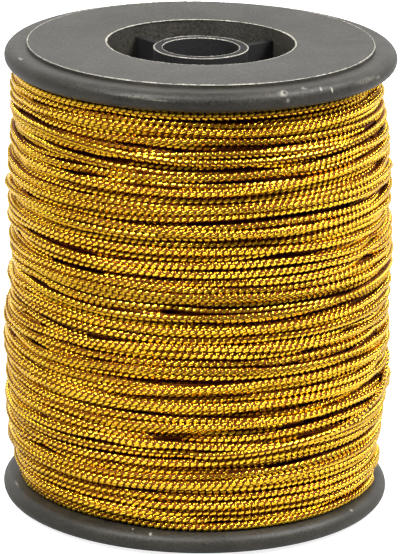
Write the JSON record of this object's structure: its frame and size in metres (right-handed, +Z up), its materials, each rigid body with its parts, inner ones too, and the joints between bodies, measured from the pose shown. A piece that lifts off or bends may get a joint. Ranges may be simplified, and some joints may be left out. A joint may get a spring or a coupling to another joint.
{
  "type": "spool of metallic cord",
  "caption": "Flanged plastic spool wound full with thin gold metallic cord; the cord is drawn off as the spool turns on its bore.",
  "frame": {"origin": "centre of the bottom end face of the spool, which it stands on", "axes": "+Z up the spool's axis; +X to the right and +Y to the back as seen in the usual front view"},
  "size_m": [0.05, 0.05, 0.0607],
  "materials": {
    "spool_plastic": "dark warm grey moulded plastic, satin, with pale flash at its edges and light scuffs",
    "metallic_cord": "fine knitted tube of gold metallised yarn, glittering, with dark gaps between its stitches"
  },
  "bodies": {
    "root": {"spool": "spool_plastic", "wound_cord": "metallic_cord"}
  },
  "joints": []
}
